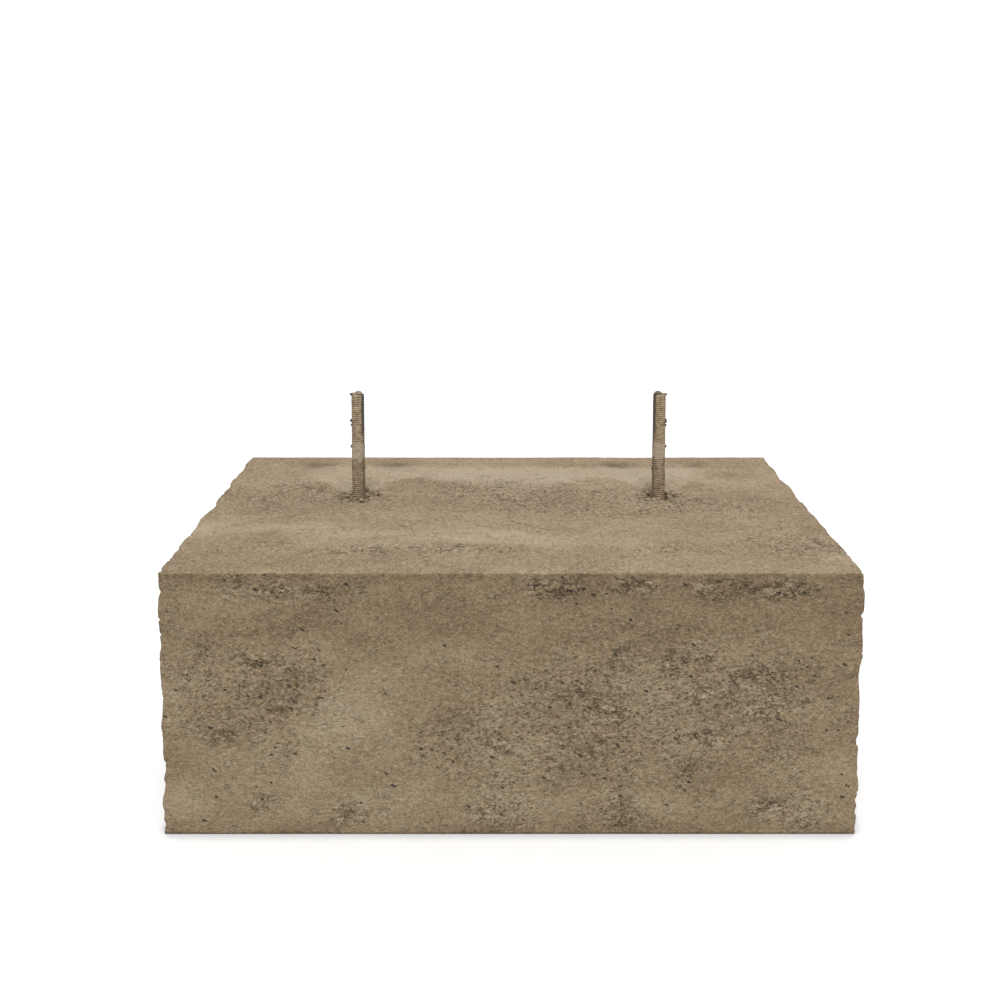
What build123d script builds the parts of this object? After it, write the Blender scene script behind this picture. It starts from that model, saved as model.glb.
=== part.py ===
"""A cast concrete ballast block with two threaded studs, for holding down a solar panel frame.

The block is one casting. Each stud is a length of threaded bar, set in the wet concrete with a
large washer locked between two nuts at its foot, so that wind load on the frame can't pull it out.

Frame: millimetres, +Z up, origin at the middle of the block's underside, +X along its length.
"""

from build123d import *
from math import cos, pi, radians, sin, sqrt, tan
import os

# ---- The block ----
block_length = 350.0  # along X
block_depth = 200.0  # along Y
block_height = 135.0  # along Z
arris_radius = 1.5  # wear on the long edges

# ---- Its rough ends, where the mould was lined with coarse board ----
lump_height = 2.6  # from the highest lump to the deepest hollow
lump_pitch = 34.0  # from one lump to the next
end_grid_step = 8.0  # spacing of the points that carry the rough surface
end_overrun = 14.0  # how far the rough surface runs past the block's edges
end_phase = 0.9  # radians, turned one way on one end and the other way on the other

# ---- Hollows where the front has crumbled under its upper edge ----
crumbled_shares = (-0.37, -0.26, 0.06, 0.29, 0.385)  # places along X, as shares of block_length
crumbled_length = 29.0
crumbled_height = 11.0
crumbled_depth = 1.3
crumbled_drop = 9.5  # from the top to a hollow's middle

# ---- Blowholes left by trapped air ----
blowhole_radius = 3.6
blowhole_sink = 0.45  # share of the radius that lies below the face
blowholes_per_side = 4  # on the front and on the back
blowhole_margin = 12.0  # clear of the block's edges
blowhole_starts = {-1: 0.2, 1: 0.8}  # where the scatter starts, on the front and on the back

# ---- The studs: M8 bar ----
stud_diameter = 8.0  # over the crests of the thread
stud_pitch_diameter = 7.19  # halfway down the thread, where concrete or a nut fills it
stud_length = 150.0
stud_exposed = 62.0  # above the block's top
stud_spacing = 180.0  # centre to centre, along X
stud_setback = 20.0  # behind the middle of the block
stud_saw_slope = 3.0  # degrees, how far the sawn top is from square
stud_foot_chamfer = 0.8
stud_tail = 4.0  # bar left below the lower nut

# ---- The nuts and washer at each stud's foot ----
nut_across_flats = 13.0
nut_height = 6.5
nut_chamfer_angle = 30.0  # degrees
nut_face_share = 0.95  # round face left on top, as a share of the width across flats
washer_diameter = 24.0
washer_hole = 8.4
washer_thickness = 2.0

# ---- The broken collar round each stud, where setting it disturbed the concrete ----
collar_radius = 13.0
collar_depth = 3.2
collar_lip = 6.0  # radius of the flat floor next to the stud
crumb_count = 6  # bites out of the collar's rim
crumb_radius = 3.4
crumb_radius_spread = 1.1
crumb_rise = 1.2  # height of a bite's centre above the top
crumb_reach = (0.72, 1.12)  # nearest and farthest bite, as shares of the collar's radius
crumb_drift = 0.6  # how far a bite strays round the rim, as a share of the bites' spacing
crumb_starts = {"left": 0.31, "right": 0.77}  # where each collar's scatter starts

# ---- Worked out from the sizes above ----
stud_places = {"left": -stud_spacing / 2, "right": stud_spacing / 2}
stud_top = block_height + stud_exposed
stud_foot = stud_top - stud_length
collar_floor = block_height - collar_depth
washer_base = stud_foot + stud_tail + nut_height
washer_top = washer_base + washer_thickness
golden_step = (sqrt(5) - 1) / 2
silver_step = sqrt(2) - 1
bronze_step = (sqrt(13) - 3) / 2


def scatter(count: int, start: float) -> list[tuple[float, float]]:
    """Pairs of shares from 0 to 1 that look random, spread evenly, and are the same every time."""
    return [
        ((start + i * golden_step) % 1, (start * bronze_step + i * silver_step) % 1)
        for i in range(count)
    ]


def spread(share: float, length: float) -> float:
    """A place along a length that is centred on 0, clear of both ends by the blowhole margin."""
    return (share - 0.5) * (length - 2 * blowhole_margin)


def end_hollow(across: float, height: float, phase: float) -> float:
    """How far a rough end lies inside the full length: crossing waves, from 0 to lump_height."""
    turn = 2 * pi / lump_pitch
    waves = (
        sin(turn * across + 0.8 * sin(0.5 * turn * height) + phase)
        + cos(1.1 * turn * height + 0.7 * sin(0.6 * turn * across) - phase)
        + 0.5 * sin(turn * (0.9 * across + 0.8 * height) + 2 * phase)
        + 0.5 * cos(turn * (0.7 * across - height) - 3 * phase)
    )
    return lump_height * (3 - waves) / 6


def stretch(low: float, high: float) -> list[float]:
    """Evenly spaced values from low to high, about end_grid_step apart."""
    steps = max(4, round((high - low) / end_grid_step))
    return [low + (high - low) * i / steps for i in range(steps + 1)]


def rough_end(side: int) -> Face:
    """The lumpy surface of the end on that side, -1 or 1, run on past the block's edges."""
    phase = end_phase * side
    across = stretch(-block_depth / 2 - end_overrun, block_depth / 2 + end_overrun)
    heights = stretch(-end_overrun, block_height + end_overrun)
    return Face.make_surface_from_array_of_points(
        [
            [
                (side * (block_length / 2 - end_hollow(y, z, phase)), y, z)
                for z in heights
            ]
            for y in across
        ]
    )


def round_through(half_chord: float, rise: float) -> float:
    """Radius of the circle whose arc over a chord of twice that half rises so far above it."""
    return (half_chord**2 + rise**2) / (2 * rise)


def nut_blank(x: float, seat: float, away: int) -> Part:
    """A hexagonal nut without its bore. Seat is the height of its face on the washer, and away, 1 or
    -1, is the way its outer face lies, which has the turned corners."""
    corner_reach = nut_across_flats / sqrt(3)
    turned_reach = nut_across_flats / 2 * nut_face_share
    turned_height = (corner_reach - turned_reach) * tan(radians(nut_chamfer_angle))
    with BuildPart() as blank:
        with BuildSketch(Plane((x, stud_setback, seat))):
            RegularPolygon(nut_across_flats / 2, 6, major_radius=False)
        extrude(amount=away * nut_height)
        with BuildSketch(Plane((x, stud_setback, seat), x_dir=(1, 0, 0), z_dir=(0, -1, 0))):
            with BuildLine():
                Polyline(
                    (0, 0),
                    (corner_reach, 0),
                    (corner_reach, away * (nut_height - turned_height)),
                    (turned_reach, away * nut_height),
                    (0, away * nut_height),
                    close=True,
                )
            make_face()
        revolve(axis=Axis((x, stud_setback, 0), (0, 0, 1)), mode=Mode.INTERSECT)
    return blank.part


# ---- Studs: drawn at the pitch diameter in the concrete, and over the crests above it ----
studs = {}
for side, x in stud_places.items():
    with BuildPart() as stud:
        with BuildSketch(Plane((x, stud_setback, stud_foot))):
            Circle(stud_pitch_diameter / 2)
        extrude(amount=stud_length - stud_exposed)
        with BuildSketch(Plane((x, stud_setback, collar_floor))):
            Circle(stud_diameter / 2)
        extrude(amount=stud_top - collar_floor)
        chamfer(edges().sort_by(Axis.Z)[0], stud_foot_chamfer)
        saw_drop = stud_diameter / 2 * tan(radians(stud_saw_slope))
        saw_plane = Plane(
            (x, stud_setback, stud_top - saw_drop),
            z_dir=Vector(0, 0, 1).rotate(Axis.Y, stud_saw_slope * (1 if x < 0 else -1)),
        )
        split(bisect_by=saw_plane, keep=Keep.BOTTOM)
    stud.part.label = f"threaded_stud_{side}"
    studs[side] = stud.part

# ---- Washers and nuts at the studs' feet ----
anchor_parts = []
for side, x in stud_places.items():
    with BuildPart() as washer:
        with BuildSketch(Plane((x, stud_setback, washer_base))):
            Circle(washer_diameter / 2)
            Circle(washer_hole / 2, mode=Mode.SUBTRACT)
        extrude(amount=washer_thickness)
    washer.part.label = f"anchor_washer_{side}"
    anchor_parts.append(washer.part)

    for place, seat, away in (("lower", washer_base, -1), ("upper", washer_top, 1)):
        with BuildPart() as nut:
            add(nut_blank(x, seat, away))
            with BuildSketch(Plane((x, stud_setback, seat))):
                Circle(stud_pitch_diameter / 2)
            extrude(amount=away * nut_height, mode=Mode.SUBTRACT)
        nut.part.label = f"anchor_nut_{place}_{side}"
        anchor_parts.append(nut.part)

# ---- Block ----
with BuildPart() as block:
    Box(
        block_length,
        block_depth,
        block_height,
        align=(Align.CENTER, Align.CENTER, Align.MIN),
    )
    fillet(edges().filter_by(Axis.X), arris_radius)

    # Rough ends: each lumpy surface, pushed outwards, takes away what stands past it.
    for side in (-1, 1):
        extrude(
            rough_end(side),
            amount=2 * lump_height,
            dir=(side, 0, 0),
            mode=Mode.SUBTRACT,
        )

    # Crumbled hollows: the belly of a long, slim barrel that lies level against the front.
    belly = round_through(crumbled_height / 2, crumbled_depth)
    bow = round_through(crumbled_length / 2, crumbled_depth)
    reach = crumbled_length
    for share in crumbled_shares:
        middle = Vector(
            share * block_length,
            -block_depth / 2 - belly + crumbled_depth,
            block_height - crumbled_drop,
        )
        with BuildSketch(Plane(middle, x_dir=(1, 0, 0), z_dir=(0, 0, 1))):
            with BuildLine():
                # The barrel's side is an arc that is highest over the middle.
                fall = bow - sqrt(bow**2 - reach**2)
                bulge = ThreePointArc((-reach, belly - fall), (0, belly), (reach, belly - fall))
                Polyline(bulge @ 1, (reach, 0), (-reach, 0), bulge @ 0)
            make_face()
        revolve(axis=Axis(middle, (1, 0, 0)), mode=Mode.SUBTRACT)

    # Blowholes: shallow caps of spheres whose centres stand off the face.
    stand_off = blowhole_radius * (1 - blowhole_sink)
    for side in (-1, 1):
        with Locations(
            *[
                (
                    spread(u, block_length),
                    side * (block_depth / 2 + stand_off),
                    block_height / 2 + spread(v, block_height),
                )
                for u, v in scatter(blowholes_per_side, blowhole_starts[side])
            ]
        ):
            Sphere(blowhole_radius, mode=Mode.SUBTRACT)

    # The broken collar round each stud, and the cavity that its foot fills.
    for side, x in stud_places.items():
        with BuildSketch(Plane((x, stud_setback, 0), x_dir=(1, 0, 0), z_dir=(0, -1, 0))):
            with BuildLine():
                Polyline(
                    (0, collar_floor),
                    (collar_lip, collar_floor),
                    (collar_radius, block_height),
                    (0, block_height),
                    close=True,
                )
            make_face()
        revolve(axis=Axis((x, stud_setback, 0), (0, 0, 1)), mode=Mode.SUBTRACT)
        for bite, (u, v) in enumerate(scatter(crumb_count, crumb_starts[side])):
            angle = 2 * pi * (bite + crumb_drift * u) / crumb_count
            reach = collar_radius * (crumb_reach[0] + (crumb_reach[1] - crumb_reach[0]) * v)
            with Locations(
                (
                    x + reach * cos(angle),
                    stud_setback + reach * sin(angle),
                    block_height + crumb_rise,
                )
            ):
                Sphere(crumb_radius + crumb_radius_spread * (v - 0.5), mode=Mode.SUBTRACT)

        with BuildSketch(Plane((x, stud_setback, stud_foot))):
            Circle(stud_pitch_diameter / 2)
        extrude(amount=collar_floor - stud_foot, mode=Mode.SUBTRACT)
        with BuildSketch(Plane((x, stud_setback, washer_base))):
            Circle(washer_diameter / 2)
        extrude(amount=washer_thickness, mode=Mode.SUBTRACT)
        add(nut_blank(x, washer_base, -1), mode=Mode.SUBTRACT)
        add(nut_blank(x, washer_top, 1), mode=Mode.SUBTRACT)
block.part.label = "concrete_block"

# ---- Write one file for each piece ----
os.makedirs("parts", exist_ok=True)
for piece in [block.part, *studs.values(), *anchor_parts]:
    export_step(piece, f"parts/{piece.label}.step")
    print(piece.label, round(piece.volume), piece.bounding_box().size)
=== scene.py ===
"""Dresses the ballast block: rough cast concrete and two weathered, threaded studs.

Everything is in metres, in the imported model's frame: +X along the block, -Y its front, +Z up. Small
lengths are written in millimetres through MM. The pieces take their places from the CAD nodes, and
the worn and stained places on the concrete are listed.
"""

import math

import bpy
import numpy as np
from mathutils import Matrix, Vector


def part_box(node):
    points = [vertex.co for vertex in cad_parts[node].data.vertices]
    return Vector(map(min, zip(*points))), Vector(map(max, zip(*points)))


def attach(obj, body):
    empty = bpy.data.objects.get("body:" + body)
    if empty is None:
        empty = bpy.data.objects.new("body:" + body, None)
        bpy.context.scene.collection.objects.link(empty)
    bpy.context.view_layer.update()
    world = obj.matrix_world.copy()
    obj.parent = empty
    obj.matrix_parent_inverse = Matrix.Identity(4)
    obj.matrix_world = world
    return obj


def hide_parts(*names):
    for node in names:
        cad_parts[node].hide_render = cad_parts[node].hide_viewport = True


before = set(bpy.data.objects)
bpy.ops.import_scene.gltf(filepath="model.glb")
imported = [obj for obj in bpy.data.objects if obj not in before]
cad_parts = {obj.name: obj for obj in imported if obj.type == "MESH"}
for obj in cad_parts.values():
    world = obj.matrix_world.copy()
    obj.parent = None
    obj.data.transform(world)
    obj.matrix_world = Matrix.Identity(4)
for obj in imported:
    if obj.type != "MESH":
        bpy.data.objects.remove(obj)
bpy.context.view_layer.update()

MM = 0.001
block_low, block_high = (np.array(corner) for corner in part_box("concrete_block"))
STUDS = {side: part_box(f"threaded_stud_{side}") for side in ("left", "right")}
STUD_X = {side: (low[0] + high[0]) / 2 for side, (low, high) in STUDS.items()}
STUD_Y = (STUDS["left"][0][1] + STUDS["left"][1][1]) / 2
STUD_RADIUS = (STUDS["left"][1][0] - STUDS["left"][0][0]) / 2
TOP = block_high[2]
HALF_LENGTH = block_high[0]


# ---------------------------------------------------------------- random fields


def lattice(cells, seed):
    """A fixed random number from 0 to 1 for each row of whole numbers, by multiplying and shifting."""
    mixed = cells[:, 0] * 374761393 + cells[:, 1] * 668265263 + cells[:, 2] * 1440670441
    mixed = (mixed + seed * 974634777) & 0xFFFFFFFF
    mixed = ((mixed ^ (mixed >> 13)) * 1274126177) & 0xFFFFFFFF
    mixed = ((mixed ^ (mixed >> 15)) * 668265263) & 0xFFFFFFFF
    return ((mixed ^ (mixed >> 16)) & 0xFFFFFF) / 0xFFFFFF


def noise(points, size, seed):
    """Smooth random values from -1 to 1, with features about size across. Size may differ by axis."""
    scaled = points / np.asarray(size)
    cells = np.floor(scaled).astype(np.int64)
    part = scaled - cells
    part = part * part * part * (part * (part * 6 - 15) + 10)
    total = np.zeros(len(points))
    for corner in np.ndindex(2, 2, 2):
        weight = np.ones(len(points))
        for axis in range(3):
            weight *= part[:, axis] if corner[axis] else 1 - part[:, axis]
        total += weight * lattice(cells + np.array(corner), seed)
    return 2 * total - 1


def layered(points, size, seed, layers=4, gain=0.5):
    """Noise in layers, each about half the size of the one before and gain times its strength."""
    total, strength, reach = np.zeros(len(points)), 1.0, 0.0
    for layer in range(layers):
        total += strength * noise(points, np.asarray(size) / 2.03**layer, seed + 17 * layer)
        reach += strength
        strength *= gain
    return total / reach


def step(low, high, values):
    """0 below low and 1 above high, with a smooth rise between them. Low may be above high."""
    t = np.clip((values - low) / (high - low), 0, 1)
    return t * t * (3 - 2 * t)


def blob(a, b, centre, reach):
    """1 at the centre of a soft oval in two coordinates, falling to 0 at about twice its reach."""
    return np.exp(-(((a - centre[0]) / reach[0]) ** 2) - ((b - centre[1]) / reach[1]) ** 2)


def covered(a, b, areas):
    """How strongly soft ovals cover each place: about 1 in the middle of one, and 0 between them."""
    return sum(blob(a, b, centre, reach) for centre, reach in areas)


def pits(points, cell, seed, share):
    """Depth from 0 to 1 in scattered hollows, one at most for each grid cell. Share is how many cells
    have one, from 0 to 1, as a number or one for each point."""
    scaled = points / np.asarray(cell)
    base = np.floor(scaled).astype(np.int64)
    deepest = np.zeros(len(points))
    for offset in np.ndindex(3, 3, 3):
        cells = base + np.array(offset) - 1
        middle = cells + np.stack([lattice(cells, seed + n) for n in (1, 2, 3)], axis=1)
        radius = 0.22 + 0.38 * lattice(cells, seed + 4) ** 2
        distance = np.linalg.norm(scaled - middle, axis=1)
        depth = step(1, 0.35, distance / radius) * (0.5 + 0.5 * radius / 0.6)
        deepest = np.maximum(deepest, depth * (lattice(cells, seed + 5) < share))
    return deepest


# ---------------------------------------------------------------- the block

ARRIS = 0.9 * MM  # rounding of the block's edges
GRID_STEP = 0.95 * MM
FINE_STEP = 0.6 * MM  # near the studs
BLOCK_TRIANGLES = 190_000
END_LUMP = 2.6 * MM  # from the highest lump of an end to its deepest hollow
END_PITCH = 34 * MM
END_PHASE = 0.9  # radians, turned one way on one end and the other way on the other
END_REACH = 9 * MM  # how far the ends' lumps reach along the sides
CREASE = 1.4 * MM  # depth of the creases between the lumps
COLLAR = 13.5 * MM  # radius of the broken ring round each stud
RUBBLE = 3.2 * MM  # depth of the gaps in that ring


def areas(*rows):
    """Soft ovals, as (middle, reach) in metres, from rows of four millimetres."""
    return [((a * MM, b * MM), (wide * MM, high * MM)) for a, b, wide, high in rows]


# Places where the front has crumbled: x, depth below the top, reach along x, reach in height.
CRUMBLED = areas(
    # Under the upper edge.
    (-129, 9, 18, 7),
    (-90, 9, 19, 7),
    (-9, 12, 5, 5),
    (21, 8, 17, 6),
    (57, 7, 13, 5),
    (101, 9, 19, 7),
    (135, 9, 19, 6),
    # Lower down.
    (-126, 46, 12, 5),
    (-142, 86, 11, 7),
    (-121, 119, 10, 6),
    (-79, 127, 9, 5),
    (124, 52, 17, 7),
    (92, 43, 10, 4),
    (47, 72, 14, 9),
    (98, 84, 13, 5),
    (-10, 123, 9, 6),
    (53, 127, 9, 5),
    (127, 122, 13, 7),
)
# Rough areas of the front: x, z, reach along each.
FRONT_ROUGH = areas(
    (90, 64, 62, 36),
    (-128, 72, 38, 30),
    (10, 52, 50, 26),
    (-73, 12, 12, 8),
    (-6, 10, 14, 7),
    (55, 10, 16, 8),
    (145, 12, 16, 9),
)
# Pale places on the front: x, z, reach along each. Each has its own strength.
FRONT_PALE = areas((-85, 64, 16, 11), (-130, 122, 36, 8), (-60, 40, 60, 22), (-110, 22, 40, 10))
FRONT_PALE_STRENGTHS = (1, 0.9, 0.45, 0.3)
# Rough areas of the top: x, y, reach along each. The last two lie round the studs.
TOP_ROUGH = areas(
    (150, -62, 24, 16),
    (-135, 22, 34, 26),
    (0, 30, 60, 20),
    (75, 2, 70, 18),
    (-60, -67, 66, 7),
    (70, -68, 20, 5),
)
TOP_ROUGH += [((x, STUD_Y), (18 * MM, 13 * MM)) for x in STUD_X.values()]
# Smudged places along the front of the top: x, y, reach along each.
SMUDGED = areas((-95, -64, 70, 8), (55, -70, 60, 7))
# Brown stains in shallow dips near the rear edge of the top: x, y, reach along each.
STAINED = areas((-124, 83, 9, 6), (-74, 84, 13, 8), (71, 84, 13, 8), (122, 83, 9, 6))

# Pits, wider than they are high. For each size: the cell that holds one, the seed, the depth, the
# darkness painted into it as shade, and the share of cells with a pit in smooth concrete, followed by
# what rough and crumbled concrete add to that share.
PITS = (
    ((4.6 * MM, 3 * MM, 2.4 * MM), 61, 0.4 * MM, 0.12, (0.02, 0.42, 0.3)),
    ((8 * MM, 5 * MM, 4 * MM), 71, 0.55 * MM, 0.1, (0.01, 0.16, 0.25)),
    ((17 * MM, 12 * MM, 9 * MM), 81, 0.6 * MM, 0.0, (0.02, 0.08, 0.25)),
)


def box_skin(xs, ys, zs):
    """Points and outward quads of a closed box whose six sides are ruled by those grid lines."""
    shape = (len(xs), len(ys), len(zs))
    inner = np.zeros(shape, bool)
    inner[1:-1, 1:-1, 1:-1] = True
    where = np.argwhere(~inner)
    number = np.full(shape, -1, np.int32)
    number[tuple(where.T)] = np.arange(len(where))
    points = np.stack([xs[where[:, 0]], ys[where[:, 1]], zs[where[:, 2]]], axis=1)
    quads = []
    for axis in range(3):
        for end in (0, -1):
            sheet = np.take(number, end, axis=axis)
            loop = [sheet[:-1, :-1], sheet[:-1, 1:], sheet[1:, 1:], sheet[1:, :-1]]
            if (end == 0) == (axis == 1):
                loop.reverse()
            quads.append(np.stack([corner.ravel() for corner in loop], axis=1))
    return points, np.concatenate(quads).tolist()


def ruled(low, high, fine_places):
    """Grid lines from low to high, closer together near the fine places."""
    lines = list(np.linspace(low, high, round((high - low) / GRID_STEP) + 1))
    for place in fine_places:
        lines = [v for v in lines if abs(v - place) > COLLAR + GRID_STEP]
        count = round(2 * COLLAR / FINE_STEP) + 1
        lines += list(np.linspace(place - COLLAR, place + COLLAR, count))
    return np.array(sorted(lines))


def rounded(points):
    """The points moved onto a box with rounded edges, and the outward direction at each."""
    core = np.clip(points, block_low + ARRIS, block_high - ARRIS)
    outward = points - core
    outward /= np.linalg.norm(outward, axis=1, keepdims=True)
    return core + ARRIS * outward, outward


def sides(outward):
    """How much each point belongs to the front, back, top, underside and ends, from 0 to 1."""
    x, y, z = outward.T
    return tuple(np.clip(v, 0, 1) for v in (-y, y, z, -z, np.abs(x)))


def roughness_map(points, outward):
    """How rough and how crumbled each point is, from 0 to 1: the areas, with ragged borders."""
    front, back, top, _under, end = sides(outward)
    x, y, z = points.T
    ragged = 1 + 0.9 * layered(points, 14 * MM, 5)
    on_back = 0.5 + 0.5 * layered(points, 45 * MM, 8)
    rough = front * (0.75 * covered(x, z, FRONT_ROUGH) + 0.12)
    rough += top * (0.8 * covered(x, y, TOP_ROUGH) + 0.08)
    rough += back * (0.75 * on_back) + end * 0.75
    crumbled = front * covered(x, TOP - z, CRUMBLED)
    return np.clip(rough * ragged, 0, 1), np.clip(crumbled * ragged, 0, 1)


def end_hollow(points):
    """How far the cast lumps of an end lie inside the block's full length: the sum of crossing
    waves, as in the solids."""
    across, height = points[:, 1], points[:, 2]
    phase = END_PHASE * np.sign(points[:, 0])
    turn = 2 * math.pi / END_PITCH
    waves = (
        np.sin(turn * across + 0.8 * np.sin(0.5 * turn * height) + phase)
        + np.cos(1.1 * turn * height + 0.7 * np.sin(0.6 * turn * across) - phase)
        + 0.5 * np.sin(turn * (0.9 * across + 0.8 * height) + 2 * phase)
        + 0.5 * np.cos(turn * (0.7 * across - height) - 3 * phase)
    )
    return END_LUMP * (3 - waves) / 6


def end_pull(points):
    """How far each point is drawn in along X by the lumps and creases of the end nearest to it. The
    last few millimetres of the long sides go with the end, so its edges are as ragged as its face."""
    plane = points.copy()
    plane[:, 0] = np.sign(points[:, 0]) * HALF_LENGTH
    wide = 1 - np.abs(noise(plane, (30 * MM, 15 * MM, 12 * MM), 101)) / 0.32
    narrow = 0.9 - np.abs(noise(plane, (30 * MM, 9 * MM, 6 * MM), 103)) / 0.2
    crease = CREASE * np.clip(np.maximum(wide, narrow), 0, 1) ** 1.3
    share = np.clip((np.abs(points[:, 0]) - HALF_LENGTH) / END_REACH + 1, 0, 1)
    return share**1.5 * (end_hollow(plane) + crease)


def collar_map(points):
    """From 0 to 1 in the broken ring round each stud, with a ragged border."""
    ring = np.zeros(len(points))
    ragged = 3.4 * MM * noise(points, 5 * MM, 95)
    for stud_x in STUD_X.values():
        away = np.hypot(points[:, 0] - stud_x, points[:, 1] - STUD_Y) + ragged
        ring = np.maximum(ring, step(1.05 * COLLAR, 0.5 * COLLAR, away))
    return ring


def relief(points, outward):
    """How far the surface lies below the plain block at each point, in metres, and how dark it is
    painted, from 0 to 1: painted shade in the pits, the rubble's gaps and the hole, and real smudges
    and stains. A slow swell and fine grit carry pits, gaps, rubble and dips."""
    top, under = sides(outward)[2:4]
    coarse, crumbled = roughness_map(points, outward)
    x, y, _z = points.T
    bend = np.stack([noise(points, 7 * MM, 31 + n) for n in range(3)], axis=1)
    bent = points + 1.8 * MM * bend

    swell = 0.2 * MM * (1 + layered(points, 45 * MM, 111, 3))
    grit = layered(bent, (4.2 * MM, 2.6 * MM, 1.7 * MM), 121, 2)
    depth = swell + 0.22 * MM * (1 + grit) * (0.3 + 1.4 * coarse)
    dark = np.zeros(len(points))
    for cell, seed, deep, darkness, (smooth, in_coarse, in_crumbled) in PITS:
        pit = pits(bent, cell, seed, smooth + in_coarse * coarse + in_crumbled * crumbled)
        depth += deep * pit
        # Painted shade inside each pit.
        dark += darkness * pit

    # The crumbled places: lumps of aggregate showing between narrow, deep gaps.
    gap = 1 - np.abs(layered(bent, (10 * MM, 9 * MM, 6 * MM), 91, 3)) / 0.14
    depth += crumbled * (0.35 * MM + 0.8 * MM * np.clip(gap, 0, 1))

    # The broken ring round each stud.
    collar = top * collar_map(points)
    rubble = 0.5 + 0.75 * layered(points, (3.6 * MM, 5 * MM, 5 * MM), 97, 3, 0.6)
    rubble = np.clip(rubble, 0, 1)
    depth += collar * (0.3 * MM + RUBBLE * rubble**1.6)
    # The deepest gaps of the rubble are painted dark: painted shade.
    dark += 1.2 * collar * step(0.42, 0.68, rubble)
    depth *= 1 - step(0.3, 0.9, under)

    # Shallow dark smudges along the front of the top, and stains near its rear edge.
    smudged = np.clip(0.75 * covered(x, y, SMUDGED), 0, 0.8)
    smudge = top * pits(bent, (13 * MM, 5 * MM, 5 * MM), 151, smudged)
    depth += 0.5 * MM * smudge
    dark += 0.34 * smudge
    ragged = np.clip(0.7 + 0.8 * layered(bent, (9 * MM, 7 * MM, 7 * MM), 157, 3), 0, 1.2)
    stain = top * covered(x, y, STAINED) * ragged
    depth += 1.4 * MM * stain
    dark += 0.9 * stain

    # A narrow hole on the inner side of the right stud's foot, painted dark inside as shade.
    hole = top * blob(x, y, (STUD_X["right"] - 5.6 * MM, STUD_Y + 1 * MM), (1.6 * MM, 4.5 * MM))
    depth += 2.4 * MM * hole
    dark += 1.1 * hole
    return depth, np.clip(dark, 0, 1)


def top_tone(points, drift):
    """The trowelled bands of the top. A smooth pale strip lies behind the studs, and its edge comes
    forward to each stud, where the trowel stopped. A second one crosses the front half at a slant."""
    x, y, _z = points.T
    away = np.min([np.abs(x - stud_x) for stud_x in STUD_X.values()], axis=0)
    beyond = np.abs(x) - STUD_X["right"]
    rear_edge = STUD_Y + 5 * MM + 29 * MM * step(2 * MM, 28 * MM, away)
    rear_edge -= 12 * MM * step(30 * MM, 60 * MM, away) + 9 * MM * step(4 * MM, 20 * MM, beyond)
    softness = 5 * MM + 10 * MM * step(26 * MM, 50 * MM, away)
    rear = step(0, 1, 0.5 + (y + 0.6 * drift - rear_edge) / softness)
    rear *= step(84 * MM, 70 * MM, y + 0.7 * drift)
    rear *= 1 - 0.75 * step(22 * MM, 48 * MM, beyond + drift)
    middle = -49 * MM - 13 * MM * np.tanh((x + 20 * MM) / (70 * MM)) + 0.6 * drift
    fore = step(15 * MM, 5 * MM, np.abs(y - middle)) * step(85 * MM, -20 * MM, x)
    patchy = np.clip(0.65 + 1.3 * layered(points, (26 * MM, 9 * MM, 9 * MM), 137, 4, 0.7), 0, 1)
    speckled = step(1, 0, (y - 2 * MM) ** 2 / (24 * MM) ** 2) * (1 - rear)
    return 0.52 * rear - 0.08 * speckled + 0.46 * fore * patchy - 0.23


def front_tone(points, drift):
    """The tone of the front: darker in a band under its upper edge, most in its top few millimetres,
    with pale patches, and paler a little above its foot.
    """
    x, _y, z = points.T
    below = TOP - z
    band = step(44 * MM, 28 * MM, below + 0.5 * drift) * (0.8 + 0.5 * step(5 * MM, 2 * MM, below))
    pale = sum(
        strength * blob(x, z, *area) for area, strength in zip(FRONT_PALE, FRONT_PALE_STRENGTHS)
    )
    low = z + 0.5 * drift
    pale += 0.35 * step(26 * MM, 14 * MM, low) * step(2 * MM, 12 * MM, low)
    return 0.5 * pale - 0.34 * band


def tone_map(points, outward):
    """Paleness from -1, dark, to 1, pale: the bands and patches of the cement skin, darker towards the
    foot.
    """
    front, back, top, _under, end = sides(outward)
    drift = 7 * MM * layered(points, 40 * MM, 131, 3)
    # Darker towards the bottom, all round the foot.
    foot_darkening = step(16 * MM, 2 * MM, points[:, 2] + drift)
    tone = front * (front_tone(points, drift) - 0.10 * foot_darkening) + top * top_tone(points, drift)
    tone -= (back + end) * 0.12 * foot_darkening
    return tone + 0.35 * layered(points, (34 * MM, 20 * MM, 16 * MM), 141, 4)


def mesh_object(name, points, faces, smooth=True):
    """A mesh object from points and lists of corners, linked to the scene."""
    mesh = bpy.data.meshes.new(name)
    mesh.from_pydata(points.tolist(), [], faces)
    mesh.validate()
    mesh.polygons.foreach_set("use_smooth", np.full(len(mesh.polygons), smooth))
    made = bpy.data.objects.new(name, mesh)
    bpy.context.scene.collection.objects.link(made)
    return made


def vertices(mesh):
    """A mesh's vertices as rows of x, y, z."""
    flat = np.empty(3 * len(mesh.vertices))
    mesh.vertices.foreach_get("co", flat)
    return flat.reshape(-1, 3)


def add_attributes(mesh, numbers):
    """Gives each vertex named numbers that the shaders can read."""
    for name, values in numbers.items():
        layer = mesh.attributes.new(name, "FLOAT", "POINT")
        layer.data.foreach_set("value", np.asarray(values, dtype=np.float32))


def thinned(piece, triangles):
    """The piece with its mesh reduced to about that many triangles, flat areas first."""
    count = sum(len(face.vertices) - 2 for face in piece.data.polygons)
    modifier = piece.modifiers.new("thin", "DECIMATE")
    modifier.ratio = triangles / count
    graph = bpy.context.evaluated_depsgraph_get()
    mesh = bpy.data.meshes.new_from_object(piece.evaluated_get(graph))
    piece.modifiers.clear()
    piece.data = mesh
    return piece


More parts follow.
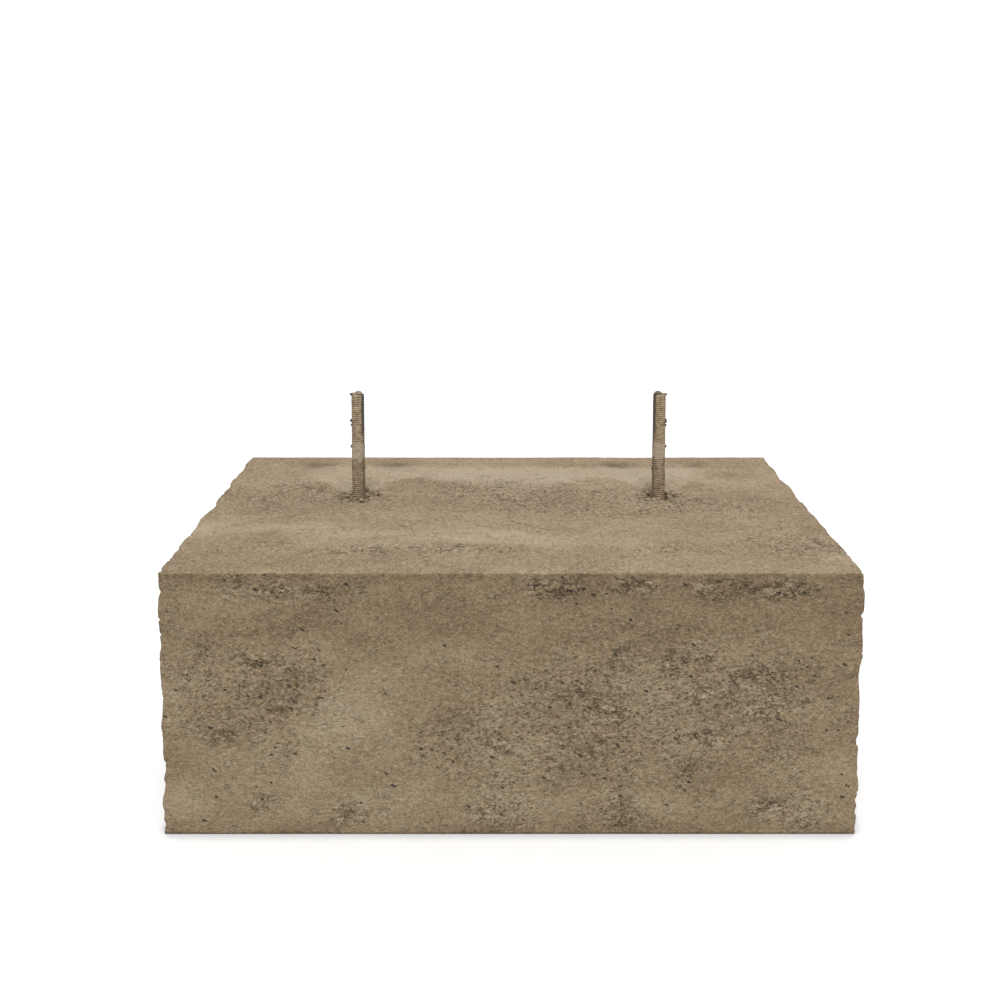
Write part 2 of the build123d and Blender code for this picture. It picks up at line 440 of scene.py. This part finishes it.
def on_plain_block(points):
    """Points just inside the block moved out to the nearest side of the plain block."""
    reach = np.maximum(points - block_high, block_low - points)
    nearest = np.argmax(reach, axis=1)
    rows = np.arange(len(points))
    upper = points[rows, nearest] > (block_low + block_high)[nearest] / 2
    plain = points.copy()
    plain[rows, nearest] = np.where(upper, block_high[nearest], block_low[nearest])
    return plain


def make_block():
    """The casting: a closed box skin, sunk by the relief, drawn in at its ends, then thinned where
    it is flat. The shaders' numbers are worked out again for the vertices that are left."""
    xs = ruled(block_low[0], block_high[0], STUD_X.values())
    ys = ruled(block_low[1], block_high[1], [STUD_Y])
    zs = ruled(block_low[2], block_high[2], [])
    flat, quads = box_skin(xs, ys, zs)
    points, outward = rounded(flat)
    depth, _dark = relief(points, outward)
    sunk = points - outward * depth[:, None]
    sunk[:, 0] -= np.sign(points[:, 0]) * end_pull(points)
    block = thinned(mesh_object("cast_concrete", sunk, quads), BLOCK_TRIANGLES)

    points, outward = rounded(on_plain_block(vertices(block.data)))
    _depth, dark = relief(points, outward)
    coarse, crumbled = roughness_map(points, outward)
    _front, _back, upward, _under, end = sides(outward)
    numbers = {
        "dark": dark,
        "coarse": np.maximum(coarse, crumbled),
        "crumbled": crumbled,
        "upward": upward,
        "end": end,
        "tone": tone_map(points, outward),
    }
    add_attributes(block.data, numbers)
    return block


# ---------------------------------------------------------------- the studs

PITCH = 1.25 * MM
THREAD_DEPTH = 0.66 * MM
ROW = 0.16 * MM  # from one ring of points to the next
COLUMNS = 44  # points in a ring
FOOT_CHAMFER = 1.2 * MM
CEMENT_BAND = (22 * MM, 33 * MM)  # above the block, where cement fills the thread
DIRTY_BELOW = 23 * MM
SHADE_STRIP = (33 * MM, 42 * MM)  # above the block, where the painted shade strip on the inner side begins and is full
BURR = 0.9 * MM  # height of the torn edge on the sawn top


def closed_tube(rings, bottom, top):
    """Points and outward faces of a tube through rows of rings that go up, each end closed by
    triangles round a middle point. The top's middle is the last point but one."""
    rows, columns = rings.shape[:2]
    number = np.arange(rows * columns).reshape(rows, columns)
    beside = np.roll(number, -1, axis=1)
    walls = np.stack([number[:-1], beside[:-1], beside[1:], number[1:]], axis=-1)
    faces = walls.reshape(-1, 4).tolist()
    faces += [[a, b, number.size] for a, b in zip(number[-1], beside[-1])]
    faces += [[b, a, number.size + 1] for a, b in zip(number[0], beside[0])]
    return np.concatenate([rings.reshape(-1, 3), [top, bottom]]), faces


def make_stud(side):
    """A threaded bar. Its radius at each height and angle is the crest's, less the groove of the
    helix where no cement or dirt fills it, with lumps where they stand proud. The sawn top slopes
    and keeps a torn burr on the outer side."""
    low, high = STUDS[side]
    outer_side = math.copysign(1, STUD_X[side])
    seed = 200 if side == "left" else 300
    rows = round((high[2] - low[2]) / ROW) + 1
    z = np.linspace(low[2], high[2] - BURR, rows)[:, None]
    angle = np.linspace(0, 2 * math.pi, COLUMNS, endpoint=False)[None, :]
    # One turn of thread: a flat crest, a straight slope down, a flat root and a slope up.
    turn = (z / PITCH - angle / (2 * math.pi)) % 1
    groove = np.clip(np.abs(turn - 0.5) * 2.6 - 0.25, 0, 1)
    shape = groove.shape
    above = np.broadcast_to(z - TOP, shape)
    cylinder = (STUD_RADIUS * np.cos(angle) + 0 * z, STUD_RADIUS * np.sin(angle) + 0 * z, above)
    places = np.stack([part.ravel() for part in cylinder], axis=1)

    # Where it is worn, and where cement and dirt cling.
    wear = layered(places, 2.5 * MM, seed, 3).reshape(shape)
    clump = layered(places, 6 * MM, seed + 50, 3).reshape(shape)
    band = step(CEMENT_BAND[0], CEMENT_BAND[0] + 2 * MM, above + 3 * MM * clump)
    band *= step(CEMENT_BAND[1], CEMENT_BAND[1] - 2 * MM, above + 3 * MM * clump)
    dirt = step(DIRTY_BELOW, DIRTY_BELOW - 6 * MM, above + 4 * MM * clump)
    dirt *= 0.35 + 0.65 * step(-0.2, 0.3, wear + 0.5 * clump)
    filled = np.clip(np.maximum(band, 0.75 * dirt), 0, 1)
    clogged = np.clip(0.35 + 0.8 * wear, 0, 0.8)
    outer = np.cos(angle) * outer_side
    # Masks for painted shade: a strip on the side facing the other stud, and the left and right sides
    # as seen from the front.
    inward = step(0.55, 0.8, 0.1 * wear - outer)
    side_shade = step(0.6, 0.97, np.abs(np.cos(angle)) + 0.12 * wear)

    radius = STUD_RADIUS - THREAD_DEPTH * groove * (1 - 0.85 * filled) * (1 - clogged)
    radius -= 0.10 * MM * (1 + wear)
    radius += 0.35 * MM * np.clip(clump, 0, 1) * np.maximum(band, dirt)
    radius *= 0.85 + 0.15 * step(low[2], low[2] + FOOT_CHAMFER, z)
    lift = BURR * (0.35 + 0.25 * outer + 0.4 * np.clip(outer, 0, 1) ** 3)
    height = z + step(high[2] - 3 * MM, high[2] - BURR, z) * (lift + 0.3 * MM * wear)
    rings = np.stack(
        [STUD_X[side] + radius * np.cos(angle), STUD_Y + radius * np.sin(angle), height], axis=-1
    )
    bottom = (STUD_X[side], STUD_Y, low[2])
    top = (STUD_X[side], STUD_Y, high[2] - 0.8 * BURR)
    stud = mesh_object(f"weathered_stud_{side}", *closed_tube(rings, bottom, top))

    # Each number over the rings, then at the top's middle. At the bottom's middle all are 0.
    numbers = {
        "root": (groove * (1 - filled) * (1 - 0.6 * clogged), 0.3),
        "cement": (band, 0.6),
        "shade_strip": (inward * step(*SHADE_STRIP, above + 4 * MM * wear), 0),
        "side_shade": (side_shade * (1 - 0.7 * band), 0),
        "dirt": (dirt, 0.4),
    }
    add_attributes(
        stud.data,
        {name: np.append(values, [at_top, 0]) for name, (values, at_top) in numbers.items()},
    )
    return stud


# ---------------------------------------------------------------- crumbs of cement

LUMP_ROWS = 9
LUMP_COLUMNS = 14
LOOSE_CRUMBS = 26
# Lumps stuck to each stud, in millimetres: how far outwards, how far back, height above the block,
# and half the size along each axis. The last is the dark burr on the sawn top.
STUCK = (
    ((4.1, -0.6, 45.5), (0.6, 1.0, 1.2)),
    ((4.0, 0.4, 42.5), (0.6, 0.9, 0.8)),
    ((4.0, -0.8, 30), (0.7, 1.0, 0.9)),
    ((-3.9, -0.9, 17), (0.6, 1.0, 1.2)),
    ((-0.6, 0, 62.0), (2.2, 2.2, 1.1)),
    ((3.9, -0.8, 61.5), (0.8, 1.0, 0.6)),
)


def lump(centre, size, seed):
    """Points and faces of a small angular lump: a ball whose radius swells with noise, stretched."""
    tilt = np.linspace(math.pi, 0, LUMP_ROWS)[1:-1, None]
    turn = np.linspace(0, 2 * math.pi, LUMP_COLUMNS, endpoint=False)[None, :]
    rings = np.stack(
        [np.sin(tilt) * np.cos(turn), np.sin(tilt) * np.sin(turn), np.cos(tilt) + 0 * turn],
        axis=-1,
    )
    shell, faces = closed_tube(rings, (0, 0, -1), (0, 0, 1))
    swell = 1 + 0.45 * layered(shell * 10 * MM, 9 * MM, seed, 3)
    return centre + shell * swell[:, None] * np.asarray(size), faces


def make_crumbs(side):
    """Cement stuck to a stud, and loose crumbs in the broken ring at its foot."""
    foot = np.array([STUD_X[side], STUD_Y, TOP])
    outer_side = math.copysign(1, STUD_X[side])
    seed = 400 if side == "left" else 500
    random = np.random.default_rng(seed)
    lumps = [
        (np.array([outer_side * out, back, height]) * MM, np.array(size) * MM)
        for (out, back, height), size in STUCK
    ]
    for _ in range(LOOSE_CRUMBS):
        angle = random.uniform(0, 2 * math.pi)
        away = random.uniform(0.36, 1.0) ** 0.8 * COLLAR
        size = random.uniform(0.6, 1.8) * MM
        rise = -2.0 * MM + 1.6 * MM * away / COLLAR
        place = (away * math.cos(angle), away * math.sin(angle), rise)
        lumps.append((place, (size, size * random.uniform(0.7, 1.2), size * 0.8)))
    points, faces = [], []
    for number, (place, size) in enumerate(lumps):
        shell, shell_faces = lump(foot + place, size, seed + number)
        faces += [[corner + len(points) for corner in face] for face in shell_faces]
        points += shell.tolist()
    crumbs = mesh_object(f"cement_crumbs_{side}", np.array(points), faces)

    darkness = np.full(len(lumps), 0.12)
    darkness[len(STUCK) - 1] = 1.0
    each = len(points) // len(lumps)
    numbers = {
        "dark": np.repeat(darkness, each),
        "coarse": np.full(len(points), 0.5),
        "crumbled": np.zeros(len(points)),
        "upward": np.ones(len(points)),
        "end": np.zeros(len(points)),
        "tone": np.repeat(random.uniform(-0.5, 0.2, len(lumps)), each),
    }
    add_attributes(crumbs.data, numbers)
    return crumbs


# ---------------------------------------------------------------- materials


class Nodes:
    """The node tree of a material or a world, with a short way to add and join its nodes."""

    def __init__(self, owner):
        owner.use_nodes = True
        self.tree = owner.node_tree
        self.tree.nodes.clear()

    def add(self, kind, inputs=None, **settings):
        """Adds a node. Inputs go by name or number, and are sockets to join or plain values."""
        node = self.tree.nodes.new(kind)
        for name, value in settings.items():
            setattr(node, name, value)
        for key, value in (inputs or {}).items():
            if isinstance(value, bpy.types.NodeSocket):
                self.tree.links.new(value, node.inputs[key])
            else:
                node.inputs[key].default_value = value
        return node

    def math(self, operation, *values):
        """One step of arithmetic on sockets or plain numbers."""
        return self.add("ShaderNodeMath", dict(enumerate(values)), operation=operation).outputs[0]

    def plus(self, a, b):
        return self.math("ADD", a, b)

    def times(self, a, b):
        return self.math("MULTIPLY", a, b)

    def most(self, a, b):
        return self.math("MAXIMUM", a, b)

    def seen(self):
        """1 where the camera looks, straight, in a reflection or through glass, and 0 elsewhere."""
        path = self.add("ShaderNodeLightPath").outputs
        mirrored = self.most(path["Is Glossy Ray"], path["Is Transmission Ray"])
        return self.most(path["Is Camera Ray"], mirrored)


class Shader(Nodes):
    """A material's node tree, with the patterns that the finishes below share."""

    def __init__(self, name):
        self.material = bpy.data.materials.new(name)
        super().__init__(self.material)
        self.place = self.add("ShaderNodeTexCoord").outputs["Object"]

    def number(self, name):
        """The number that each vertex carries under that name."""
        return self.add("ShaderNodeAttribute", attribute_name=name).outputs["Fac"]

    def along(self, place, sizes):
        """The place measured in features of those sizes in metres along each axis."""
        scale = [1 / size for size in sizes]
        return self.add("ShaderNodeVectorMath", {0: place, 1: scale}, operation="MULTIPLY").outputs[0]

    def noise(self, size, detail=4.0, roughness=0.6, distortion=0.0, place=None):
        """Noise from 0 to 1 with features about size metres across, one size or one for each axis."""
        place = place or self.place
        if isinstance(size, tuple):
            place = self.along(place, size)
            size = 1
        node = self.add(
            "ShaderNodeTexNoise",
            {
                "Vector": place,
                "Scale": 1 / size,
                "Detail": detail,
                "Roughness": roughness,
                "Distortion": distortion,
            },
        )
        return node.outputs["Fac"]

    def ramp(self, value, low, high, out_low=0.0, out_high=1.0):
        """The value mapped from low..high to out_low..out_high, held at both ends."""
        node = self.add(
            "ShaderNodeMapRange",
            {"Value": value, "From Min": low, "From Max": high, "To Min": out_low, "To Max": out_high},
            interpolation_type="SMOOTHSTEP",
        )
        return node.outputs[0]

    def mix(self, share, a, b):
        """Colour a where share is 0 and b where it is 1."""
        return self.add("ShaderNodeMix", {0: share, 6: a, 7: b}, data_type="RGBA").outputs[2]

    def colours(self, value, stops):
        """A ramp of colours: stops are (position, colour)."""
        node = self.add("ShaderNodeValToRGB", {"Fac": value})
        ramp = node.color_ramp
        while len(ramp.elements) < len(stops):
            ramp.elements.new(0.5)
        for element, (position, colour) in zip(ramp.elements, stops):
            element.position = position
            element.color = colour
        return node.outputs["Color"]

    def finish(self, colour, roughness, height, bump, metallic=0.0, specular=0.5):
        """Joins the results to the surface. Bump is how far 1 of height stands out, in metres."""
        bumpy = self.add("ShaderNodeBump", {"Height": height, "Distance": bump, "Strength": 1.0})
        surface = self.add(
            "ShaderNodeBsdfPrincipled",
            {
                "Base Color": colour,
                "Roughness": roughness,
                "Metallic": metallic,
                "Specular IOR Level": specular,
                "Normal": bumpy.outputs[0],
            },
        )
        self.add("ShaderNodeOutputMaterial", {"Surface": surface.outputs[0]})
        return self.material


def turn_on_ends(s):
    """Swaps X and Y of the place on the block's ends, so that the pattern, which is drawn out along
    Y, faces them as it faces the front."""
    x, y, z = s.add("ShaderNodeSeparateXYZ", {0: s.place}).outputs
    turned = s.add("ShaderNodeCombineXYZ", {0: y, 1: x, 2: z}).outputs[0]
    on_end = s.math("GREATER_THAN", s.number("end"), 0.5)
    mixed = s.add("ShaderNodeMix", {0: on_end, 4: s.place, 5: turned}, data_type="VECTOR")
    s.place = mixed.outputs[1]


def leaning(s, degrees):
    """The place turned about Y, which makes a pattern on the front lean by that much."""
    turn = (0.0, math.radians(degrees), 0.0)
    return s.add("ShaderNodeMapping", {"Vector": s.place, "Rotation": turn}).outputs[0]


def stones(s, sizes, detail, gap):
    """Thin cracks along the middle level of a noise, and the stones between them, whose paleness
    is partly their own colour and partly a painted highlight.
    """
    level = s.noise(sizes, detail, 0.62, 0.6)
    away = s.math("ABSOLUTE", s.math("SUBTRACT", level, 0.5))
    return s.ramp(away, gap, 0.4 * gap), s.ramp(away, 0.5 * gap, 0.16)


def air_holes(s, coarse, upward):
    """Small deep holes that lean, more of them where the concrete is coarse, and none on the top."""
    jolt = s.add("ShaderNodeTexNoise", {"Vector": s.place, "Scale": 420.0, "Detail": 3.0})
    jolt = s.add("ShaderNodeVectorMath", {0: jolt.outputs["Color"], "Scale": 0.7}, operation="SCALE")
    place = s.along(leaning(s, -24), (5.6 * MM, 5 * MM, 2.8 * MM))
    ragged = s.add("ShaderNodeVectorMath", {0: place, 1: jolt.outputs[0]}, operation="ADD")
    cells = s.add("ShaderNodeTexVoronoi", {"Vector": ragged.outputs[0], "Scale": 1.0})
    draw = s.add("ShaderNodeSeparateColor", {0: cells.outputs["Color"]}).outputs[0]
    chosen = s.ramp(s.plus(draw, s.times(coarse, 0.26)), 0.985, 0.995)
    hole = s.times(s.ramp(cells.outputs["Distance"], 0.24, 0.13), chosen)
    return s.times(hole, s.ramp(upward, 0.5, 0.3))


def concrete_material():
    """Tan cast concrete: a cloudy cement skin with fine level streaks, a grain of short slanted
    dashes where it is rough, cracks where it has crumbled, and holes. The pits, cracks, hollows and
    holes are darkened with painted shade, the holes dark blue-grey, and the stones between the
    cracks are made paler, partly with a painted highlight."""
    s = Shader("cast concrete")
    tone, dark, coarse, upward = (s.number(name) for name in ("tone", "dark", "coarse", "upward"))
    turn_on_ends(s)
    cloud = s.noise((34 * MM, 26 * MM, 20 * MM), 5, 0.62)
    streak = s.noise((8 * MM, 7 * MM, 4.4 * MM), 5, 0.62, 0.4)
    dash = s.noise((1.7 * MM, 2.4 * MM, 1.15 * MM), 3, 0.65, 0.5, leaning(s, 9))
    sand = s.noise((0.9 * MM, 1.7 * MM, 0.7 * MM), 2, 0.6)
    fleck = s.noise((2.2 * MM, 4 * MM, 1.9 * MM), 3, 0.6, 0.4)
    uneven = s.noise(12 * MM, 4, 0.65)

    # How pale it is: the tone of its place and the grain, which is strongest where it is rough.
    ragged = s.plus(coarse, s.times(s.math("SUBTRACT", streak, 0.5), 0.9))
    roughened = s.ramp(ragged, 0.02, 0.75)
    value = s.math("MULTIPLY_ADD", tone, 0.40, 0.53)
    for texture, strength in (
        (cloud, 0.26),
        (streak, 0.32),
        (sand, 0.78),
        (fleck, 0.52),
        (dash, s.plus(roughened, 0.46)),
    ):
        value = s.plus(value, s.times(s.math("SUBTRACT", texture, 0.5), strength))

    # Cracks between stones: most where it has crumbled, some where it is rough, and hairlines.
    in_rough = s.times(s.times(roughened, s.ramp(uneven, 0.50, 0.62)), 0.85)
    crumbled = s.plus(s.number("crumbled"), s.math("SUBTRACT", uneven, 0.5))
    hairline = s.times(s.ramp(streak, 0.48, 0.60), s.ramp(uneven, 0.42, 0.56, 0.0, 0.42))
    broken = s.most(s.most(in_rough, s.ramp(crumbled, 0.3, 0.85, 0.0, 0.9)), hairline)
    large_cracks, large_stones = stones(s, (14 * MM, 9 * MM, 9 * MM), 4, 0.016)
    small_cracks, small_stones = stones(s, (5 * MM, 4 * MM, 3.4 * MM), 3, 0.028)
    small_cracks = s.times(small_cracks, s.ramp(streak, 0.49, 0.55))
    crack = s.times(s.most(large_cracks, small_cracks), broken)
    # The stones between the cracks are paler: partly their own colour, partly a painted highlight
    # beside the dark cracks.
    stone_tone_and_highlight = s.math("SUBTRACT", s.plus(large_stones, small_stones), 0.5)
    value = s.plus(value, s.times(stone_tone_and_highlight, s.times(broken, 0.2)))

    colour = s.colours(
        value,
        (
            (0.0, (0.060, 0.042, 0.025, 1)),
            (0.3, (0.165, 0.116, 0.068, 1)),
            (0.5, (0.240, 0.176, 0.106, 1)),
            (0.7, (0.312, 0.242, 0.155, 1)),
            (1.0, (0.41, 0.335, 0.235, 1)),
        ),
    )
    # The trowelled top has a greyer skin, most of all where it is pale.
    greyed = s.times(upward, s.ramp(tone, -0.3, 0.6, 0.12, 0.5))
    colour = s.mix(greyed, colour, (0.310, 0.256, 0.200, 1))
    # Painted shade: dark in short pits where the grain is lowest, in the cracks, and in the hollows
    # that the mesh has, together with the mesh's real stains and smudges.
    pit = s.times(s.ramp(dash, 0.38, 0.31), s.ramp(roughened, 0.15, 0.8))
    shaded_hollows = s.most(s.most(s.times(pit, 0.7), crack), dark)
    colour = s.mix(s.times(shaded_hollows, 0.75), colour, (0.046, 0.036, 0.018, 1))
    # The air holes are painted dark blue-grey: painted shade inside them.
    hole = air_holes(s, coarse, upward)
    colour = s.mix(s.times(hole, 0.85), colour, (0.020, 0.022, 0.030, 1))

    height = s.times(dash, s.math("MULTIPLY_ADD", roughened, 1.1, 0.35))
    for texture, strength in ((streak, 0.3), (sand, 0.25), (shaded_hollows, -0.5), (hole, -1.5)):
        height = s.plus(height, s.times(texture, strength))
    return s.finish(colour, 0.93, height, 0.9 * MM, specular=0.2)


def stud_material():
    """Weathered zinc-plated bar: dull brown-grey crests, dark roots, cement and dirt, with painted
    shade down its left and right sides and a painted shade strip on its inner side near the top.
    """
    s = Shader("weathered stud steel")
    root, cement, dirt = (s.number(name) for name in ("root", "cement", "dirt"))
    mottle = s.noise(2.4 * MM, 5, 0.7)
    grain = s.noise(0.7 * MM, 3, 0.7)
    colour = s.colours(
        mottle,
        (
            (0.3, (0.17, 0.125, 0.08, 1)),
            (0.5, (0.36, 0.268, 0.163, 1)),
            (0.7, (0.58, 0.465, 0.315, 1)),
        ),
    )
    colour = s.mix(s.times(root, 0.5), colour, (0.05, 0.038, 0.026, 1))
    soil = s.colours(grain, ((0.35, (0.092, 0.063, 0.035, 1)), (0.65, (0.235, 0.172, 0.104, 1))))
    colour = s.mix(s.times(dirt, 0.8), colour, soil)
    paste = s.colours(grain, ((0.3, (0.27, 0.215, 0.15, 1)), (0.7, (0.50, 0.43, 0.33, 1))))
    colour = s.mix(s.times(cement, s.ramp(mottle, 0.35, 0.6, 0.4, 0.85)), colour, paste)
    # Painted shade down the left and right sides of the bar as seen from the front, less where cement
    # fills the thread.
    colour = s.mix(s.times(s.number("side_shade"), 0.62), colour, (0.085, 0.058, 0.034, 1))
    # A painted shade strip, near-black, on the side that faces the other stud, near the top.
    colour = s.mix(s.times(s.number("shade_strip"), 0.8), colour, (0.020, 0.021, 0.030, 1))
    clothed = s.most(cement, dirt)
    metallic = s.ramp(clothed, 0.0, 0.8, 0.15, 0.0)
    roughness = s.ramp(clothed, 0.0, 0.8, 0.7, 0.95)
    return s.finish(colour, roughness, grain, 0.25 * MM, metallic)


def zinc_material():
    """The nuts and washers inside the concrete: dull plating, spotted where cement has bitten."""
    s = Shader("dull zinc")
    spots = s.noise(4 * MM, 5, 0.65)
    grain = s.noise(0.6 * MM, 3, 0.6)
    colour = s.colours(spots, ((0.35, (0.30, 0.28, 0.25, 1)), (0.6, (0.46, 0.45, 0.43, 1))))
    return s.finish(colour, s.ramp(spots, 0.3, 0.7, 0.65, 0.38), grain, 0.1 * MM, 0.8)


# ---------------------------------------------------------------- the studio

FLOOR_HALF = 6.0
FLOOR_LEVEL = -0.2 * MM
PAINTED_SHADOW_REACH = 9 * MM  # how near the block the painted contact shadow reaches
# The camera stands in front of the block and above its top, a little left of its middle.
CAMERA_LEFT = 5.1 * MM
CAMERA_BEFORE = 501 * MM
CAMERA_ABOVE = 204 * MM
CAMERA_TIP = 5.18  # degrees down
LENS = 38.1  # focal length in millimetres, for a sensor 36 mm wide
LENS_SHIFT = -0.25


def make_floor():
    """A wide white floor that the camera sees as plain white, apart from the block's shadow and a
    contact shadow painted round its foot.
    """
    s = Shader("white floor")
    paper = s.noise(20 * MM, 4, 0.6)
    shade = s.ramp(paper, 0.3, 0.7, 0.76, 0.77)
    # A painted contact shadow: the floor's colour is darkened in the last few millimetres before the
    # block, where less light reaches.
    open_share = s.add("ShaderNodeAmbientOcclusion", {"Distance": PAINTED_SHADOW_REACH}, samples=12)
    shade = s.times(shade, s.ramp(open_share.outputs["AO"], 0.5, 0.95, 0.70, 1.0))
    # The light that it throws back on the block is weaker than the white that the camera sees.
    shade = s.times(shade, s.ramp(s.seen(), 0.0, 1.0, 0.7, 1.0))
    colour = s.add("ShaderNodeCombineColor", {0: shade, 1: shade, 2: shade}).outputs[0]
    corners = ((-1, -1), (1, -1), (1, 1), (-1, 1))
    points = np.array([(x * FLOOR_HALF, y * FLOOR_HALF, FLOOR_LEVEL) for x, y in corners])
    floor = mesh_object("floor", points, [[0, 1, 2, 3]], smooth=False)
    floor.data.materials.append(s.finish(colour, 0.95, paper, 0.02 * MM, specular=0.1))


def make_sun(direction, softness, strength):
    """One soft light from far off, shining along the direction. Softness is its width in degrees."""
    light = bpy.data.lights.new("key", "SUN")
    light.angle = math.radians(softness)
    light.energy = strength
    lamp = bpy.data.objects.new("key", light)
    lamp.rotation_euler = Vector(direction).to_track_quat("-Z", "Y").to_euler()
    bpy.context.scene.collection.objects.link(lamp)


def make_world(light, background):
    """Even white light all round. Where the camera looks, it is the plain white background."""
    world = bpy.data.worlds.new("studio")
    bpy.context.scene.world = world
    s = Nodes(world)
    glow, backdrop = (
        s.add("ShaderNodeBackground", {"Color": (1, 1, 1, 1), "Strength": strength}).outputs[0]
        for strength in (light, background)
    )
    mixed = s.add("ShaderNodeMixShader", {0: s.seen(), 1: glow, 2: backdrop})
    s.add("ShaderNodeOutputWorld", {"Surface": mixed.outputs[0]})


def make_camera():
    """Stands in front of the block and above it, tipped a little down, with the lens shifted."""
    camera = bpy.data.cameras.new("camera")
    camera.lens = LENS
    camera.sensor_width = 36
    camera.shift_y = LENS_SHIFT
    camera.clip_start = 0.01
    stand = bpy.data.objects.new("camera", camera)
    stand.location = (-CAMERA_LEFT, block_low[1] - CAMERA_BEFORE, TOP + CAMERA_ABOVE)
    stand.rotation_euler = (math.radians(90 - CAMERA_TIP), 0, 0)
    bpy.context.scene.collection.objects.link(stand)
    bpy.context.scene.camera = stand


# ---------------------------------------------------------------- put it together

concrete = concrete_material()
block = make_block()
block.data.materials.append(concrete)
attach(block, "root")
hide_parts("concrete_block")

stud_steel = stud_material()
for side in STUDS:
    stud = make_stud(side)
    stud.data.materials.append(stud_steel)
    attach(stud, "root")
    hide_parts(f"threaded_stud_{side}")
    crumbs = make_crumbs(side)
    crumbs.data.materials.append(concrete)
    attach(crumbs, "root")

zinc = zinc_material()
for name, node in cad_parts.items():
    if name.startswith("anchor"):
        for material_slot in node.material_slots:
            material_slot.material = zinc

make_floor()
make_world(light=0.8, background=1.0)
make_sun(direction=(0.0, 0.42, -1.0), softness=20, strength=2.6)
make_camera()
bpy.context.scene.view_settings.view_transform = "Standard"
